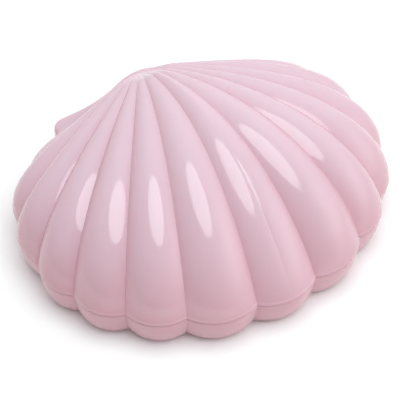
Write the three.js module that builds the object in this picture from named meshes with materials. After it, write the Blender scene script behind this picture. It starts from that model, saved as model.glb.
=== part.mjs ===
// Scallop shell box: a ribbed, domed lid that rests on a shallow tray of the same outline.
// Millimetres. +X right, +Y towards the beak and the two small ears, +Z up.
// The origin is on the underside, in the middle of the box's width and length.

import * as THREE from "three";

// Outline at the parting line, drawn through the valleys between the ribs
const HALF_WIDTH = 72.3;
const FRONT_DEPTH = 58.8;
const BACK_DEPTH = 52.3;
const FRONT_EXPONENT = 2;
const SHOULDER_EXPONENT = 2.56;

// Where the valleys of one side meet the outline, in degrees round it from the front
const VALLEY_ANGLES = [10, 31.1, 50, 69.2, 88.7, 106, 130, 153.4];
const RIB_ROUNDNESS = 2;
const RIB_RELIEF_BEAK = 0.05;
const RIB_RELIEF_MIDDLE = 0.162;
const RIB_RELIEF_RIM = 0.142;

// How far the ribs bow sideways between beak and rim, as a share of the half width
const RIB_SWEEP = -0.022;

// Beak, the point from which the ribs fan out, and the back edge with its two ears
const BEAK_SETBACK = 53.8;
const BEAK_RISE = 22.4;
const BEAK_ROUNDING = 7.5;
const BEAK_BACK_ROUNDING = 0.45;
const BEAK_BLUNTING = 3;
const BEAK_TO_BACK_EDGE = 5.6;
const EAR_THICKNESS = 5.5;
const EAR_CORNER = 4;
const EAR_FLARE = -0.3;
const EAR_SLOPE_POWER = 2.05;
const EAR_EDGE_FULLNESS = 9;

// Profile of the lid along a ray: the middle rib, half-way round, and the outermost valley
const RISE_FULLNESS = [1.65, 1.24, 1.2];
const RIM_FULLNESS = [1, 1.77, 2.26];
const CROWN_SWELL = [3.05, 1.55, -0.6];
const RIM_UPRIGHT_POWER = 8;

// Tray, walls and the fit between lid and tray
const TRAY_HEIGHT = 14.5;
const FOOT_INSET = 6.9;
const FOOT_RELIEF_GAIN = 0.4;
const BACK_FOOT_SHARE = 0.4;
const WALL = 2.2;
const FLOOR = 2.4;
const SEAT_GAP = 0.3;
const LIP_DEPTH = 2;
const LIP_THICKNESS = 1;
const LIP_CLEARANCE = 0.35;

// Fineness of the faces
const STEPS_PER_RIB = 8;
const EAR_STEPS = [3, 4, 8];
const OUTER_ROWS = 12;
const INNER_ROWS = [0.14, 0.3, 0.46, 0.62, 0.77, 0.9];
const TRAY_LEVELS = [0, 0.1, 0.3, 0.6, 1];
const SLOPE_STEP = 1e-3;

const PINK = 0xe9bccb;

const QUARTER = Math.PI / 2;
const SIDE_RIBS = VALLEY_ANGLES.length - 1;
const LAST_VALLEY = SIDE_RIBS + 0.5;
const EAR_PARTS = EAR_STEPS.length;
const HALF_ROUND = LAST_VALLEY + EAR_PARTS;
const LIP_OUTER_INSET = WALL + LIP_CLEARANCE;
const LIP_INNER_INSET = LIP_OUTER_INSET + LIP_THICKNESS;
const LID_RIM_Z = TRAY_HEIGHT + SEAT_GAP;
const TIP_RISE = BEAK_RISE - BEAK_BLUNTING;

const smooth = (t) => {
  const c = THREE.MathUtils.clamp(t, 0, 1);
  return c * c * (3 - 2 * c);
};
const signedPower = (v, p) => Math.sign(v) * Math.abs(v) ** p;

// Valley outline round the ribs, about its own centre; u is a whole number on each rib's crest,
// 0 on the middle rib, and half a unit more at each valley
function ribbedEdge(u) {
  const side = Math.min(Math.abs(u), LAST_VALLEY) - 0.5;
  const before = Math.min(Math.floor(side), SIDE_RIBS - 1);
  const first = before < 0 ? -VALLEY_ANGLES[0] : VALLEY_ANGLES[before];
  const degrees = THREE.MathUtils.lerp(first, VALLEY_ANGLES[before + 1], side - before);
  const angle = THREE.MathUtils.degToRad(degrees);
  const forward = Math.cos(angle) >= 0;
  const power = 2 / (forward ? FRONT_EXPONENT : SHOULDER_EXPONENT);
  const depth = forward ? FRONT_DEPTH : BACK_DEPTH;
  return new THREE.Vector2(
    Math.sign(u) * HALF_WIDTH * signedPower(Math.sin(angle), power),
    -depth * signedPower(Math.cos(angle), power),
  );
}

const NOTCH = ribbedEdge(LAST_VALLEY);
const EAR_X = NOTCH.x + EAR_FLARE;
const BACK_Y = BEAK_SETBACK + BEAK_TO_BACK_EDGE;

// The outline's centre lies this far behind the middle of the box's length
const FRONT_REACH = FRONT_DEPTH + RIB_RELIEF_RIM * 2 * ribbedEdge(0.5).x;
const CENTRE_Y = (FRONT_REACH - BACK_Y) / 2;
const BEAK_Y = CENTRE_Y + BEAK_SETBACK;

// Edge of one ear and half of the straight back, in parts of one unit of t each: up the side, round
// the corner, and along the back to its middle
function earEdge(t) {
  const corner = new THREE.Vector2(EAR_X - EAR_CORNER, BACK_Y - EAR_CORNER);
  if (t < 1) return NOTCH.clone().lerp(new THREE.Vector2(EAR_X, corner.y), t);
  if (t > EAR_PARTS - 1) return new THREE.Vector2(corner.x * (EAR_PARTS - t), BACK_Y);
  const turn = (t - 1) * QUARTER;
  return corner.add(new THREE.Vector2(Math.cos(turn), Math.sin(turn)).multiplyScalar(EAR_CORNER));
}

// The whole outline; u runs from -HALF_ROUND to HALF_ROUND, which is the middle of the back
function edge(u) {
  const side = Math.abs(u);
  if (side <= LAST_VALLEY) return ribbedEdge(u);
  const point = earEdge(side - LAST_VALLEY);
  return new THREE.Vector2(point.x * Math.sign(u), point.y);
}

// Quadratic curve through three values, at t of 0, 0.5 and 1
function throughThree([start, half, end], t) {
  return start * 2 * (t - 0.5) * (t - 1) + half * 4 * t * (1 - t) + end * 2 * t * (t - 0.5);
}

// Value at this ray of a size given for the middle rib, half-way round and the outermost valley
const alongRays = (values, u) => throughThree(values, Math.min(Math.abs(u) / LAST_VALLEY, 1));

// How far along its ray, and how high over the parting line, the lid's valley surface is
function ribProfile(u, tau) {
  const reach = Math.sin(tau) ** (2 / alongRays(RISE_FULLNESS, u));
  const drop = Math.cos(tau) ** (2 / alongRays(RIM_FULLNESS, u));
  return [reach, BEAK_RISE * drop * (1 + alongRays(CROWN_SWELL, u) * reach)];
}

// The same for the ears: a concave fall from the beak to a flat ear with a round edge
function earProfile(tau) {
  const reach = Math.sin(tau);
  const rim = EAR_THICKNESS * Math.cos(tau) ** (2 / EAR_EDGE_FULLNESS);
  return [reach, rim + (BEAK_RISE - EAR_THICKNESS) * (1 - reach) ** EAR_SLOPE_POWER];
}

// Point of the lid's valley surface; tau is 0 at the beak and a quarter turn at the rim
function valleyPoint(u, tau) {
  const ear = smooth(Math.abs(u) - SIDE_RIBS);
  const [ribReach, ribRise] = ribProfile(u, tau);
  const [earReach, earRise] = earProfile(tau);
  const reach = THREE.MathUtils.lerp(ribReach, earReach, ear);
  const ray = edge(u).sub(new THREE.Vector2(0, BEAK_SETBACK));
  const tip = Math.min(BEAK_ROUNDING, ray.length() * BEAK_BACK_ROUNDING);
  const blunt = Math.exp(-((ray.length() * reach / tip) ** 2));
  const rise = THREE.MathUtils.lerp(THREE.MathUtils.lerp(ribRise, earRise, ear), TIP_RISE, blunt);
  const bow = RIB_SWEEP * HALF_WIDTH * u * (1 - ear);
  const sweep = bow * reach * (1 - reach) / ray.length();
  return new THREE.Vector3(
    ray.x * reach - ray.y * sweep,
    BEAK_Y + ray.y * reach + ray.x * sweep,
    LID_RIM_Z + rise,
  );
}

// Outward direction of the valley surface, turned level towards the rim
function outward(u, tau) {
  const high = Math.min(tau + SLOPE_STEP, QUARTER);
  const across = wrapped(u + SLOPE_STEP, tau).sub(wrapped(u - SLOPE_STEP, tau));
  const along = valleyPoint(u, high).sub(valleyPoint(u, high - 2 * SLOPE_STEP));
  const normal = along.cross(across).normalize();
  normal.z *= 1 - (tau / QUARTER) ** RIM_UPRIGHT_POWER;
  return normal.normalize();
}

// The same surface a little past the middle of the back, where the two sides meet
function wrapped(u, tau) {
  const past = Math.abs(u) - HALF_ROUND;
  if (past <= 0) return valleyPoint(u, tau);
  return valleyPoint(-Math.sign(u) * (HALF_ROUND - past), tau);
}

// Height of the rib over the valley surface
function ribRelief(u, tau) {
  if (Math.abs(u) >= LAST_VALLEY) return 0;
  const rib = Math.round(u);
  const width = valleyPoint(rib + 0.5, tau).distanceTo(valleyPoint(rib - 0.5, tau));
  const reliefs = [RIB_RELIEF_BEAK, RIB_RELIEF_MIDDLE, RIB_RELIEF_RIM];
  const share = throughThree(reliefs, tau / QUARTER);
  return width * share * (1 - Math.abs(2 * (u - rib)) ** RIB_ROUNDNESS);
}

// Point of the scalloped rim, moved inwards, at any height
function rimPoint(u, inset, z) {
  const normal = outward(u, QUARTER);
  const point = valleyPoint(u, QUARTER).addScaledVector(normal, ribRelief(u, QUARTER) - inset);
  point.z = z;
  return point;
}

// Point of the ribbed outside of the lid
const outerPoint = (u, tau) =>
  valleyPoint(u, tau).addScaledVector(outward(u, tau), ribRelief(u, tau));

// Inside of the lid: one wall in from the outside, and never closer to the edge than the lip
function innerPoint(u, tau) {
  const point = valleyPoint(u, tau).addScaledVector(outward(u, tau), ribRelief(u, tau) - WALL);
  const level = outward(u, QUARTER);
  const inset = rimPoint(u, 0, point.z).sub(point).dot(level);
  return point.addScaledVector(level, Math.min(inset - LIP_INNER_INSET, 0));
}

// Places round the outline where the faces meet, from one side of the back's middle to the other
function stations() {
  const right = [];
  for (let i = 0; i <= LAST_VALLEY * STEPS_PER_RIB; i += 1) right.push(i / STEPS_PER_RIB);
  EAR_STEPS.forEach((steps, part) => {
    for (let i = 1; i <= steps; i += 1) right.push(LAST_VALLEY + part + i / steps);
  });
  const left = right.slice(1, -1).map((u) => -u).reverse();
  return [...left, ...right];
}

// A closed surface of rings of points, each ring with one point for each station
class RingSurface {
  constructor() {
    this.positions = [];
    this.indices = [];
  }

  point(p) {
    this.positions.push(p.x, p.y, p.z);
    return this.positions.length / 3 - 1;
  }

  ring(pointAt) {
    return STATIONS.map((u) => this.point(pointAt(u)));
  }

  band(first, second) {
    first.forEach((a, i) => {
      const next = (i + 1) % first.length;
      this.indices.push(a, first[next], second[next], a, second[next], second[i]);
    });
  }

  // Rings run with the material on the left of the way from the first tip to the last one
  closedBetween(firstTip, rings, lastTip) {
    const first = this.point(firstTip);
    const last = this.point(lastTip);
    rings[0].forEach((a, i, ring) => this.indices.push(first, ring[(i + 1) % ring.length], a));
    for (let i = 1; i < rings.length; i += 1) this.band(rings[i - 1], rings[i]);
    rings.at(-1).forEach((a, i, ring) => this.indices.push(last, a, ring[(i + 1) % ring.length]));
  }

  geometry() {
    const geometry = new THREE.BufferGeometry();
    geometry.setAttribute("position", new THREE.Float32BufferAttribute(this.positions, 3));
    geometry.setIndex(this.indices);
    geometry.computeVertexNormals();
    return geometry;
  }
}

const STATIONS = stations();

// Lid: the inside from the beak out, the lip that drops into the tray, the rim face it rests on,
// and the ribbed outside back to the beak
function lidGeometry() {
  const surface = new RingSurface();
  const crown = new THREE.Vector3(0, BEAK_Y, LID_RIM_Z + TIP_RISE);
  const ceiling = crown.clone().setZ(crown.z - WALL);
  const lipZ = TRAY_HEIGHT - LIP_DEPTH;
  const rings = INNER_ROWS.map((q) => surface.ring((u) => innerPoint(u, QUARTER * q)));
  rings.push(surface.ring((u) => rimPoint(u, LIP_INNER_INSET, lipZ)));
  rings.push(surface.ring((u) => rimPoint(u, LIP_OUTER_INSET, lipZ)));
  rings.push(surface.ring((u) => rimPoint(u, LIP_OUTER_INSET, LID_RIM_Z)));
  rings.push(surface.ring((u) => rimPoint(u, 0, LID_RIM_Z)));
  for (let row = OUTER_ROWS - 1; row > 0; row -= 1) {
    rings.push(surface.ring((u) => outerPoint(u, (QUARTER * row) / OUTER_ROWS)));
  }
  surface.closedBetween(ceiling, rings, crown);
  return surface.geometry();
}

// Point of the tray's side, drawn in towards the foot as a quarter ellipse, less at the plain back;
// the ribs stand out a little more there
function trayPoint(u, z, wall) {
  const drop = 1 - z / TRAY_HEIGHT;
  const drawn = 1 - Math.sqrt(1 - drop * drop);
  const share = THREE.MathUtils.lerp(1, BACK_FOOT_SHARE, smooth(Math.abs(u) - SIDE_RIBS));
  const relief = ribRelief(u, QUARTER) * FOOT_RELIEF_GAIN * drawn;
  return rimPoint(u, FOOT_INSET * share * drawn - relief + wall, z);
}

// Tray: flat underside, rounded scalloped side, rim face, inside wall and floor
function trayGeometry() {
  const surface = new RingSurface();
  const level = (z, wall) => surface.ring((u) => trayPoint(u, z, wall));
  const heights = TRAY_LEVELS.map((share) => share * TRAY_HEIGHT);
  const inside = [FLOOR, ...heights.filter((z) => z > FLOOR + WALL)].reverse();
  const rings = [...heights.map((z) => level(z, 0)), ...inside.map((z) => level(z, WALL))];
  surface.closedBetween(new THREE.Vector3(0, 0, 0), rings, new THREE.Vector3(0, 0, FLOOR));
  return surface.geometry();
}

function plastic() {
  return new THREE.MeshStandardMaterial({ color: PINK, roughness: 0.22, metalness: 0 });
}

function piece(name, geometry) {
  const mesh = new THREE.Mesh(geometry, plastic());
  mesh.name = name;
  return mesh;
}

const box = new THREE.Group();
box.add(piece("shell_tray", trayGeometry()));
box.add(piece("shell_lid", lidGeometry()));

export default box;
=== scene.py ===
"""A scallop shell box in glossy pale pink plastic: a ribbed, domed lid on a shallow tray."""

import math

import bpy
import numpy as np
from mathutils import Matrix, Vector


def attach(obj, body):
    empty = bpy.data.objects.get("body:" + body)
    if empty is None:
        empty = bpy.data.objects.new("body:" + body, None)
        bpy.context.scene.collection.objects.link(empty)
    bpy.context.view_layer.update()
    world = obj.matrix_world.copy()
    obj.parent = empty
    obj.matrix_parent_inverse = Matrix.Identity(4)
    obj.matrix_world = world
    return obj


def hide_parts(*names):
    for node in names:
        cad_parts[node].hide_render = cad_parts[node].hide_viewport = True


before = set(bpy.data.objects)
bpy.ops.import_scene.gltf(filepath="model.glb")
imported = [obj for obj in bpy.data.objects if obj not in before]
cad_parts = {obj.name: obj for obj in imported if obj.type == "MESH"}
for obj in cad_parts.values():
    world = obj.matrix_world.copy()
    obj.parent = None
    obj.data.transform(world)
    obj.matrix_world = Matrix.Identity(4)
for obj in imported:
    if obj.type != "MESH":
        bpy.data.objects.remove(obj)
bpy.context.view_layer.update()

MM = 0.001
QUARTER = math.pi / 2

# Outline at the parting line, in millimetres, drawn through the valleys between the ribs
HALF_WIDTH = 72.3
FRONT_DEPTH = 58.8
BACK_DEPTH = 52.3
FRONT_EXPONENT = 2
SHOULDER_EXPONENT = 2.56

# Where the valleys of one side meet the outline, in degrees round it from the front
VALLEY_ANGLES = [10, 31.1, 50, 69.2, 88.7, 106, 130, 153.4]
RIB_ROUNDNESS = 2
RIB_RELIEF_BEAK = 0.05
RIB_RELIEF_MIDDLE = 0.162
RIB_RELIEF_RIM = 0.142
RIB_FADE = 12
# Reach of the painted shade in the valleys and round the beak
VALLEY_SHADE_WIDTH = 0.2
VALLEY_SHADE_BEAK_REACH = 7
BEAK_SOFT_REACH = 16
BEAK_SOFT_PASSES = 80

# How far the ribs bow sideways between beak and rim, as a share of the half width
RIB_SWEEP = -0.022

# Beak, the point from which the ribs fan out, and the back edge with its two ears
BEAK_SETBACK = 53.8
BEAK_RISE = 22.4
BEAK_ROUNDING = 7.5
BEAK_BACK_ROUNDING = 0.45
BEAK_BLUNTING = 3
BEAK_TO_BACK_EDGE = 5.6
EAR_THICKNESS = 5.5
EAR_CORNER = 4
EAR_FLARE = -0.3
EAR_SLOPE_POWER = 2.05
EAR_EDGE_FULLNESS = 9

# Profile of the lid along a ray: the middle rib, half-way round, and the outermost valley
RISE_FULLNESS = (1.65, 1.24, 1.2)
RIM_FULLNESS = (1, 1.77, 2.26)
CROWN_SWELL = (3.05, 1.55, -0.6)
RIM_UPRIGHT_POWER = 8

# Tray, walls and the fit between lid and tray
TRAY_HEIGHT = 14.5
FOOT_INSET = 6.9
FOOT_RELIEF_GAIN = 0.4
BACK_FOOT_SHARE = 0.4
WALL = 2.2
FLOOR = 2.4
SEAT_GAP = 0.3
LIP_DEPTH = 2
LIP_THICKNESS = 1
LIP_CLEARANCE = 0.35

# Small forms of the moulding: the rounded rims and the fine bead over the parting line
RIM_RADIUS = 0.4
BEAD_HEIGHT = 1.0
BEAD_FADE = 0.5
BEAD_REACH = 0.18

# Fineness of the surface
STEPS_PER_RIB = 32
EAR_STEPS = (6, 10, 18)
OUTER_ROWS = 110
OUTER_ROW_CROWDING = 1.6
INNER_ROWS = 26
INNER_START = 0.1
INNER_END = 0.94
ROUND_ROWS = 6
TRAY_ROWS = 22
SLOPE_STEP = 1e-3
SHARP_ANGLE = 15

SIDE_RIBS = len(VALLEY_ANGLES) - 1
LAST_VALLEY = SIDE_RIBS + 0.5
EAR_PARTS = len(EAR_STEPS)
HALF_ROUND = LAST_VALLEY + EAR_PARTS
LIP_OUTER_INSET = WALL + LIP_CLEARANCE
LIP_INNER_INSET = LIP_OUTER_INSET + LIP_THICKNESS
LID_RIM_Z = TRAY_HEIGHT + SEAT_GAP
TIP_RISE = BEAK_RISE - BEAK_BLUNTING


def smooth(t):
    """0 to 1 with level ends."""
    c = np.clip(t, 0, 1)
    return c * c * (3 - 2 * c)


def lerp(a, b, t):
    return a + (b - a) * t


def signed_power(v, p):
    return np.sign(v) * np.abs(v) ** p


def ribbed_edge(u):
    """Valley outline about its own centre. u is a whole number on each rib's crest, 0 on the middle
    rib, and half a unit more at each valley."""
    places = np.arange(-1, SIDE_RIBS + 1) + 0.5
    degrees = np.interp(np.abs(u), places, [-VALLEY_ANGLES[0], *VALLEY_ANGLES])
    angle = np.radians(degrees)
    forward = np.cos(angle) >= 0
    power = np.where(forward, 2 / FRONT_EXPONENT, 2 / SHOULDER_EXPONENT)
    depth = np.where(forward, FRONT_DEPTH, BACK_DEPTH)
    x = np.sign(u) * HALF_WIDTH * signed_power(np.sin(angle), power)
    return x, -depth * signed_power(np.cos(angle), power)


NOTCH_X, NOTCH_Y = ribbed_edge(np.array(LAST_VALLEY))
EAR_X = NOTCH_X + EAR_FLARE
BACK_Y = BEAK_SETBACK + BEAK_TO_BACK_EDGE
FRONT_REACH = FRONT_DEPTH + RIB_RELIEF_RIM * 2 * ribbed_edge(np.array(0.5))[0]
BEAK_Y = (FRONT_REACH - BACK_Y) / 2 + BEAK_SETBACK


def ear_edge(t):
    """Edge of one ear and half of the straight back: the side, the corner, then the back."""
    corner_x = EAR_X - EAR_CORNER
    corner_y = BACK_Y - EAR_CORNER
    turn = np.clip(t - 1, 0, 1) * QUARTER
    x = corner_x + EAR_CORNER * np.cos(turn)
    y = corner_y + EAR_CORNER * np.sin(turn)
    x = np.where(t < 1, lerp(NOTCH_X, EAR_X, t), x)
    y = np.where(t < 1, lerp(NOTCH_Y, corner_y, t), y)
    back = t > EAR_PARTS - 1
    return np.where(back, corner_x * (EAR_PARTS - t), x), np.where(back, BACK_Y, y)


def edge(u):
    """The whole outline; u runs from -HALF_ROUND to HALF_ROUND, the middle of the back."""
    rib_x, rib_y = ribbed_edge(u)
    ear_x, ear_y = ear_edge(np.maximum(np.abs(u) - LAST_VALLEY, 0))
    ribbed = np.abs(u) <= LAST_VALLEY
    return np.where(ribbed, rib_x, ear_x * np.sign(u)), np.where(ribbed, rib_y, ear_y)


def through_three(values, t):
    """Quadratic curve through three values, at t of 0, 0.5 and 1."""
    start, half, end = values
    return start * 2 * (t - 0.5) * (t - 1) + half * 4 * t * (1 - t) + end * 2 * t * (t - 0.5)


def along_rays(values, u):
    """Value at this ray of a size given for the middle rib, half-way round and the last valley."""
    return through_three(values, np.minimum(np.abs(u) / LAST_VALLEY, 1))


def beak_distance(u, tau):
    """Level distance from the beak, near it."""
    x, y = edge(u)
    return np.hypot(x, y - BEAK_SETBACK) * np.sin(tau) ** (2 / along_rays(RISE_FULLNESS, u))


def valley_point(u, tau):
    """Point of the lid's valley surface; tau is 0 at the beak and a quarter turn at the rim."""
    cosine = np.maximum(np.cos(tau), 0)
    ear = smooth(np.abs(u) - SIDE_RIBS)
    rib_reach = np.sin(tau) ** (2 / along_rays(RISE_FULLNESS, u))
    swell = 1 + along_rays(CROWN_SWELL, u) * rib_reach
    rib_rise = BEAK_RISE * cosine ** (2 / along_rays(RIM_FULLNESS, u)) * swell
    ear_reach = np.sin(tau)
    ear_rise = EAR_THICKNESS * cosine ** (2 / EAR_EDGE_FULLNESS)
    ear_rise = ear_rise + (BEAK_RISE - EAR_THICKNESS) * (1 - ear_reach) ** EAR_SLOPE_POWER
    reach = lerp(rib_reach, ear_reach, ear)
    ray_x, ray_y = edge(u)
    ray_y = ray_y - BEAK_SETBACK
    length = np.hypot(ray_x, ray_y)
    tip = np.minimum(BEAK_ROUNDING, length * BEAK_BACK_ROUNDING)
    blunt = np.exp(-((length * reach / tip) ** 2))
    rise = lerp(lerp(rib_rise, ear_rise, ear), TIP_RISE, blunt)
    bow = RIB_SWEEP * HALF_WIDTH * u * (1 - ear)
    sweep = bow * reach * (1 - reach) / length
    x = ray_x * reach - ray_y * sweep
    y = BEAK_Y + ray_y * reach + ray_x * sweep
    return np.stack(np.broadcast_arrays(x, y, LID_RIM_Z + rise), axis=-1)


def wrapped(u, tau):
    """The same surface a little past the middle of the back, where the two sides meet."""
    past = np.abs(u) - HALF_ROUND
    return valley_point(np.where(past > 0, -np.sign(u) * (HALF_ROUND - past), u), tau)


def outward(u, tau):
    """Outward direction of the valley surface, turned level towards the rim."""
    high = np.minimum(tau + SLOPE_STEP, QUARTER)
    across = wrapped(u + SLOPE_STEP, tau) - wrapped(u - SLOPE_STEP, tau)
    along = valley_point(u, high) - valley_point(u, high - 2 * SLOPE_STEP)
    normal = np.cross(along, across)
    normal /= np.linalg.norm(normal, axis=-1, keepdims=True)
    normal[..., 2] *= 1 - (tau / QUARTER) ** RIM_UPRIGHT_POWER
    return normal / np.linalg.norm(normal, axis=-1, keepdims=True)


def rib_relief(u, tau):
    """Height of the rib over the valley surface; the ribs fade into the smooth beak."""
    rib = np.round(np.clip(u, -SIDE_RIBS, SIDE_RIBS))
    ends = valley_point(rib + 0.5, tau) - valley_point(rib - 0.5, tau)
    width = np.linalg.norm(ends, axis=-1)
    share = through_three((RIB_RELIEF_BEAK, RIB_RELIEF_MIDDLE, RIB_RELIEF_RIM), tau / QUARTER)
    height = width * share * (1 - np.minimum(np.abs(2 * (u - rib)), 1) ** RIB_ROUNDNESS)
    return height * smooth(beak_distance(u, tau) / RIB_FADE)


def rim_point(u, inset, z):
    """Point of the scalloped rim, moved inwards, at any height."""
    reach = rib_relief(u, QUARTER) - inset
    point = valley_point(u, QUARTER) + outward(u, QUARTER) * reach[..., None]
    point[..., 2] = z
    return point


def ribbed_point(u, tau, inset=0):
    """Point of the ribbed surface of the lid, or of one that lies inside it."""
    reach = rib_relief(u, tau) - inset
    return valley_point(u, tau) + outward(u, tau) * reach[..., None]


def outer_point(u, tau):
    """Outside of the lid, with the bead and the rounded edge at its rim."""
    point = ribbed_point(u, tau)
    height = point[..., 2] - LID_RIM_Z
    bead = BEAD_REACH * (1 - smooth((height - BEAD_HEIGHT) / BEAD_FADE))
    corner = np.clip(RIM_RADIUS - height, 0, RIM_RADIUS)
    rounding = RIM_RADIUS - np.sqrt(RIM_RADIUS**2 - corner**2)
    return point + outward(u, QUARTER) * (bead - rounding)[..., None]


def inner_point(u, tau):
    """Inside of the lid: one wall in, and never closer to the edge than the lip."""
    point = ribbed_point(u, tau, WALL)
    level = outward(u, QUARTER)
    inset = ((rim_point(u, 0, 0) - point) * level)[..., :2].sum(axis=-1)
    return point + level * np.minimum(inset - LIP_INNER_INSET, 0)[..., None]


def stations():
    """Places round the outline, from one side of the back's middle to the other."""
    right = [np.linspace(0, LAST_VALLEY, int(LAST_VALLEY * STEPS_PER_RIB) + 1)]
    for part, steps in enumerate(EAR_STEPS):
        right.append(LAST_VALLEY + part + np.arange(1, steps + 1) / steps)
    right = np.concatenate(right)
    return np.concatenate([-right[1:-1][::-1], right])


STATIONS = stations()


def painted_valley_shade(u, away):
    """Share of painted shade: 1 in a valley and at the beak where the valleys meet, falling off on all
    sides.
    """
    nearest = np.clip(np.floor(np.abs(u)), 0, SIDE_RIBS) + 0.5
    valley = np.exp(-2 * np.abs(np.abs(u) - nearest) / VALLEY_SHADE_WIDTH)
    return np.maximum(valley, np.exp(-((away / VALLEY_SHADE_BEAK_REACH) ** 2)))


def closed_between(name, first_tip, rings, last_tip):
    """A closed mesh of rings of points, with one point for each station, and a tip at each end."""
    count = len(STATIONS)
    points = np.concatenate([[first_tip], *rings, [last_tip]])
    places = np.concatenate([[0], np.tile(STATIONS, len(rings)), [0]])
    away = np.linalg.norm(points - (0, BEAK_Y, LID_RIM_Z + TIP_RISE), axis=-1)
    place = np.arange(count)
    after = (place + 1) % count
    faces = [(0, int(1 + b), int(1 + a)) for a, b in zip(place, after)]
    for ring in range(len(rings) - 1):
        low = 1 + ring * count
        high = low + count
        quads = np.stack([low + place, low + after, high + after, high + place], axis=-1)
        faces.extend(map(tuple, quads.tolist()))
    end = len(points) - 1
    top = end - count
    faces.extend((end, int(top + a), int(top + b)) for a, b in zip(place, after))
    mesh = bpy.data.meshes.new(name)
    mesh.from_pydata((points * MM).tolist(), [], faces)
    # Painted shade: each point's share of the deeper valley pink, most in the valleys and at the beak
    depth = mesh.attributes.new("painted_valley_shade", "FLOAT", "POINT")
    depth.data.foreach_set("value", painted_valley_shade(places, away))
    mesh.shade_smooth()
    mesh.set_sharp_from_angle(angle=math.radians(SHARP_ANGLE))
    mesh.validate()
    piece = bpy.data.objects.new(name, mesh)
    bpy.context.scene.collection.objects.link(piece)
    return piece


def soften_beak(rings, crown):
    """Ease the fold where the ribbed front meets the ears, most at the beak; the rim keeps its place."""
    grid = np.array(rings)
    away = np.linalg.norm((grid - crown)[..., :2], axis=-1)
    above = smooth((grid[..., 2] - LID_RIM_Z) / EAR_THICKNESS)
    share = 0.5 * (smooth(1 - away / BEAK_SOFT_REACH) * above)[..., None]
    for _ in range(BEAK_SOFT_PASSES):
        nearer = np.concatenate([grid[1:], np.broadcast_to(crown, grid[:1].shape)])
        farther = np.concatenate([grid[:1], grid[:-1]])
        beside = np.roll(grid, 1, axis=1) + np.roll(grid, -1, axis=1)
        grid = lerp(grid, (nearer + farther + beside) / 4, share)
        crown = grid[-1].mean(axis=0)
    return list(grid), crown


def make_lid():
    """The inside from the beak out, the lip, the rim and the ribbed outside back to the beak."""
    crown = np.array([0, BEAK_Y, LID_RIM_Z + TIP_RISE])
    ceiling = crown - np.array([0, 0, WALL])
    lip_z = TRAY_HEIGHT - LIP_DEPTH
    inner = np.linspace(INNER_START, INNER_END, INNER_ROWS)
    rings = [inner_point(STATIONS, QUARTER * q) for q in inner]
    rings.append(rim_point(STATIONS, LIP_INNER_INSET, lip_z))
    rings.append(rim_point(STATIONS, LIP_OUTER_INSET, lip_z))
    rings.append(rim_point(STATIONS, LIP_OUTER_INSET, LID_RIM_Z))
    outer = 1 - (1 - np.arange(1, OUTER_ROWS) / OUTER_ROWS) ** OUTER_ROW_CROWDING
    outside = [outer_point(STATIONS, QUARTER * q) for q in [1, *outer[::-1]]]
    outside, crown = soften_beak(outside, crown)
    return closed_between("lid_shell", ceiling, rings + outside, crown)


def tray_point(u, z, wall):
    """Point of the tray's side, drawn in towards the foot as a quarter ellipse."""
    drop = 1 - z / TRAY_HEIGHT
    drawn = 1 - np.sqrt(1 - drop * drop)
    share = lerp(1, BACK_FOOT_SHARE, smooth(np.abs(u) - SIDE_RIBS))
    relief = rib_relief(u, QUARTER) * FOOT_RELIEF_GAIN * drawn
    corner = np.clip(z - TRAY_HEIGHT + RIM_RADIUS, 0, RIM_RADIUS)
    rounding = RIM_RADIUS - np.sqrt(RIM_RADIUS**2 - corner**2)
    edge_inset = wall if wall else rounding
    return rim_point(u, FOOT_INSET * share * drawn - relief + edge_inset, z)


def make_tray():
    """Flat underside, rounded scalloped side, rim, inside wall and floor."""
    sweep = np.linspace(0, QUARTER, TRAY_ROWS + 1)
    heights = list(TRAY_HEIGHT * (1 - np.cos(sweep)))
    low = [z for z in heights if z < TRAY_HEIGHT - RIM_RADIUS]
    arc = np.linspace(0, QUARTER, ROUND_ROWS + 1)
    rim = list(TRAY_HEIGHT - RIM_RADIUS + RIM_RADIUS * np.sin(arc))
    inside = [z for z in low if z > FLOOR + WALL]
    rings = [tray_point(STATIONS, z, 0) for z in [*low, *rim]]
    rings.append(tray_point(STATIONS, TRAY_HEIGHT, WALL))
    rings.extend(tray_point(STATIONS, z, WALL) for z in reversed(inside))
    rings.append(tray_point(STATIONS, FLOOR, WALL))
    return closed_between("tray_shell", (0, 0, 0), rings, (0, 0, FLOOR))


# Plastic. Its thin wall lets some light through. Its colour holds painted light and shade: paler where
# it faces up and a deeper pink on its sides, for the light from above and the shade at the sides.
PINK_SHADED_SIDE = ((0.600, 0.324, 0.373, 1), (0.630, 0.356, 0.405, 1))
PINK_LIT_TOP = ((0.643, 0.463, 0.540, 1), (0.673, 0.491, 0.568, 1))
# Painted shade, mixed in along the valleys and at the beak
PINK_VALLEY_SHADE = (0.69, 0.36, 0.44, 1)
SHADED_TO_LIT_FACING = (0.2, 1)
VALLEY_SHADE_SHARE = 0.3
REFRACTION = 1.58
DEPTH_WEIGHT = 0.35
DEPTH_RADIUS = (1, 0.45, 0.5)
DEPTH_SCALE = 0.003
CLOUD_SCALE = 22
CLOUD_DETAIL = 3
ROUGHNESS = (0.06, 0.1)
RIPPLE_SCALE = 90
RIPPLE_DETAIL = 2
RIPPLE_STRENGTH = 0.05
RIPPLE_DEPTH = 0.0004


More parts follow.
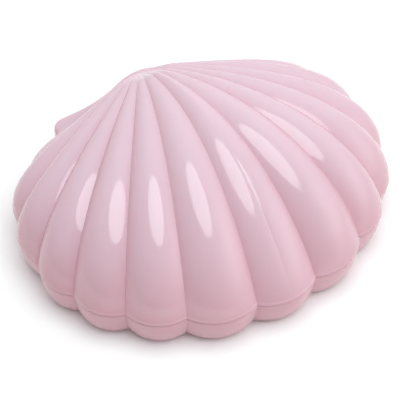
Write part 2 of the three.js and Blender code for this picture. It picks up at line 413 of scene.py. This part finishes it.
def pink_plastic(name):
    """Glossy moulded plastic: slightly cloudy colour, painted light on faces turned up, painted shade on
    the sides and in the valleys, a soft depth and a faint waviness.
    """
    material = bpy.data.materials.new(name)
    material.use_nodes = True
    nodes = material.node_tree.nodes
    links = material.node_tree.links
    shader = nodes["Principled BSDF"]
    shader.inputs["IOR"].default_value = REFRACTION
    shader.inputs["Subsurface Weight"].default_value = DEPTH_WEIGHT
    shader.inputs["Subsurface Radius"].default_value = DEPTH_RADIUS
    shader.inputs["Subsurface Scale"].default_value = DEPTH_SCALE
    place = nodes.new("ShaderNodeTexCoord")

    cloud = nodes.new("ShaderNodeTexNoise")
    cloud.inputs["Scale"].default_value = CLOUD_SCALE
    cloud.inputs["Detail"].default_value = CLOUD_DETAIL
    links.new(place.outputs["Object"], cloud.inputs["Vector"])
    tints = []
    for deep, pale in (PINK_SHADED_SIDE, PINK_LIT_TOP):
        tint = nodes.new("ShaderNodeMix")
        tint.data_type = "RGBA"
        tint.inputs["A"].default_value = deep
        tint.inputs["B"].default_value = pale
        links.new(cloud.outputs["Fac"], tint.inputs["Factor"])
        tints.append(tint)
    # Painted light and shade: faces turned up take the paler, lit pink, the sides the deeper, shaded
    # pink.
    facing = nodes.new("ShaderNodeSeparateXYZ")
    links.new(place.outputs["Normal"], facing.inputs["Vector"])
    lit_share = nodes.new("ShaderNodeMapRange")
    lit_share.inputs["From Min"].default_value = SHADED_TO_LIT_FACING[0]
    lit_share.inputs["From Max"].default_value = SHADED_TO_LIT_FACING[1]
    links.new(facing.outputs["Z"], lit_share.inputs["Value"])
    lit_and_shaded = nodes.new("ShaderNodeMix")
    lit_and_shaded.data_type = "RGBA"
    links.new(lit_share.outputs["Result"], lit_and_shaded.inputs["Factor"])
    links.new(tints[0].outputs["Result"], lit_and_shaded.inputs["A"])
    links.new(tints[1].outputs["Result"], lit_and_shaded.inputs["B"])

    # Painted shade: the colour turns towards the deeper valley pink in the valleys and at the beak
    depth = nodes.new("ShaderNodeAttribute")
    depth.attribute_name = "painted_valley_shade"
    share = nodes.new("ShaderNodeMath")
    share.operation = "MULTIPLY"
    share.inputs[1].default_value = VALLEY_SHADE_SHARE
    links.new(depth.outputs["Fac"], share.inputs[0])
    valley_shaded = nodes.new("ShaderNodeMix")
    valley_shaded.data_type = "RGBA"
    valley_shaded.inputs["B"].default_value = PINK_VALLEY_SHADE
    links.new(share.outputs["Value"], valley_shaded.inputs["Factor"])
    links.new(lit_and_shaded.outputs["Result"], valley_shaded.inputs["A"])
    links.new(valley_shaded.outputs["Result"], shader.inputs["Base Color"])

    haze = nodes.new("ShaderNodeMapRange")
    haze.inputs["To Min"].default_value = ROUGHNESS[0]
    haze.inputs["To Max"].default_value = ROUGHNESS[1]
    links.new(cloud.outputs["Fac"], haze.inputs["Value"])
    links.new(haze.outputs["Result"], shader.inputs["Roughness"])

    ripple = nodes.new("ShaderNodeTexNoise")
    ripple.inputs["Scale"].default_value = RIPPLE_SCALE
    ripple.inputs["Detail"].default_value = RIPPLE_DETAIL
    links.new(place.outputs["Object"], ripple.inputs["Vector"])
    bump = nodes.new("ShaderNodeBump")
    bump.inputs["Strength"].default_value = RIPPLE_STRENGTH
    bump.inputs["Distance"].default_value = RIPPLE_DEPTH
    links.new(ripple.outputs["Fac"], bump.inputs["Height"])
    links.new(bump.outputs["Normal"], shader.inputs["Normal"])
    return material


# Camera: where it looks, from which side, how far off and through which lens
CAMERA_TARGET = Vector((-4.22, -1.02, 12.82)) * MM
CAMERA_AZIMUTH = math.radians(-30.17)
CAMERA_ELEVATION = math.radians(48.86)
CAMERA_DISTANCE = 455 * MM
CAMERA_LENS = 105.2


def direction(azimuth, elevation):
    """Unit vector towards a place round the box; azimuth 0 is the front, 90 the right."""
    level = math.cos(elevation)
    return Vector((math.sin(azimuth) * level, -math.cos(azimuth) * level, math.sin(elevation)))


def make_camera():
    data = bpy.data.cameras.new("camera")
    data.lens = CAMERA_LENS
    data.clip_start = 0.01
    camera = bpy.data.objects.new("camera", data)
    back = direction(CAMERA_AZIMUTH, CAMERA_ELEVATION)
    camera.location = CAMERA_TARGET + back * CAMERA_DISTANCE
    camera.rotation_euler = back.to_track_quat("Z", "Y").to_euler()
    bpy.context.scene.collection.objects.link(camera)
    bpy.context.scene.camera = camera


# The overhead softbox hangs level over the front of the box and draws the long strips on the ribs
COOL_WHITE = (0.9, 1, 1)
SOFTBOX_PLACE = (0.003, -0.165, 0.617)
SOFTBOX_TURN = 16.7
SOFTBOX_SIZE = (0.46, 0.645)
SOFTBOX_POWER = 2.4


def make_softbox():
    data = bpy.data.lights.new("softbox_overhead", "AREA")
    data.shape = "ELLIPSE"
    data.size, data.size_y = SOFTBOX_SIZE
    data.energy = SOFTBOX_POWER
    data.color = COOL_WHITE
    light = bpy.data.objects.new("softbox_overhead", data)
    light.location = SOFTBOX_PLACE
    light.rotation_euler = (0, 0, math.radians(SOFTBOX_TURN))
    bpy.context.scene.collection.objects.link(light)


# The room is brighter behind the box than in front of it, with a soft bright patch to the right
WORLD_COLOR = (1, 0.985, 0.99, 1)
BRIGHT_SIDE = (0.6, 0.8, 0)
WORLD_STRENGTH = (0.3, 1.1)
PATCH_SIDE = (0.739, -0.599, 0.309)
PATCH_FOCUS = 10
PATCH_STRENGTH = 1.3


def make_room():
    world = bpy.data.worlds.new("studio")
    world.use_nodes = True
    nodes = world.node_tree.nodes
    links = world.node_tree.links
    background = nodes["Background"]
    background.inputs["Color"].default_value = WORLD_COLOR
    place = nodes.new("ShaderNodeTexCoord")
    aligned = nodes.new("ShaderNodeVectorMath")
    aligned.operation = "DOT_PRODUCT"
    aligned.inputs[1].default_value = BRIGHT_SIDE
    links.new(place.outputs["Generated"], aligned.inputs[0])
    general = nodes.new("ShaderNodeMapRange")
    general.inputs["From Min"].default_value = -1
    general.inputs["To Min"].default_value = WORLD_STRENGTH[0]
    general.inputs["To Max"].default_value = WORLD_STRENGTH[1]
    links.new(aligned.outputs["Value"], general.inputs["Value"])

    towards = nodes.new("ShaderNodeVectorMath")
    towards.operation = "DOT_PRODUCT"
    towards.inputs[1].default_value = PATCH_SIDE
    links.new(place.outputs["Generated"], towards.inputs[0])
    ahead = nodes.new("ShaderNodeMath")
    ahead.operation = "MAXIMUM"
    ahead.inputs[1].default_value = 0
    links.new(towards.outputs["Value"], ahead.inputs[0])
    focus = nodes.new("ShaderNodeMath")
    focus.operation = "POWER"
    focus.inputs[1].default_value = PATCH_FOCUS
    links.new(ahead.outputs["Value"], focus.inputs[0])
    strength = nodes.new("ShaderNodeMath")
    strength.operation = "MULTIPLY_ADD"
    strength.inputs[1].default_value = PATCH_STRENGTH
    links.new(focus.outputs["Value"], strength.inputs[0])
    links.new(general.outputs["Result"], strength.inputs[2])
    links.new(strength.outputs["Value"], background.inputs["Strength"])
    bpy.context.scene.world = world


FLOOR_SIZE = 3
FLOOR_COLOR = (0.95, 0.95, 0.95, 1)
FLOOR_ROUGHNESS = 0.9


def make_floor():
    half = FLOOR_SIZE / 2
    mesh = bpy.data.meshes.new("studio_floor")
    corners = [(-half, -half, 0), (half, -half, 0), (half, half, 0), (-half, half, 0)]
    mesh.from_pydata(corners, [], [(0, 1, 2, 3)])
    paper = bpy.data.materials.new("pale_paper")
    paper.use_nodes = True
    shader = paper.node_tree.nodes["Principled BSDF"]
    shader.inputs["Base Color"].default_value = FLOOR_COLOR
    shader.inputs["Roughness"].default_value = FLOOR_ROUGHNESS
    mesh.materials.append(paper)
    floor = bpy.data.objects.new("studio_floor", mesh)
    bpy.context.scene.collection.objects.link(floor)


for maker, node, slot in ((make_lid, "shell_lid", "lid"), (make_tray, "shell_tray", "tray")):
    piece = maker()
    piece.data.materials.append(pink_plastic(slot + "_pink_plastic"))
    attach(piece, "root")
    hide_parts(node)

make_camera()
make_softbox()
make_room()
make_floor()
bpy.context.scene.view_settings.view_transform = "Standard"
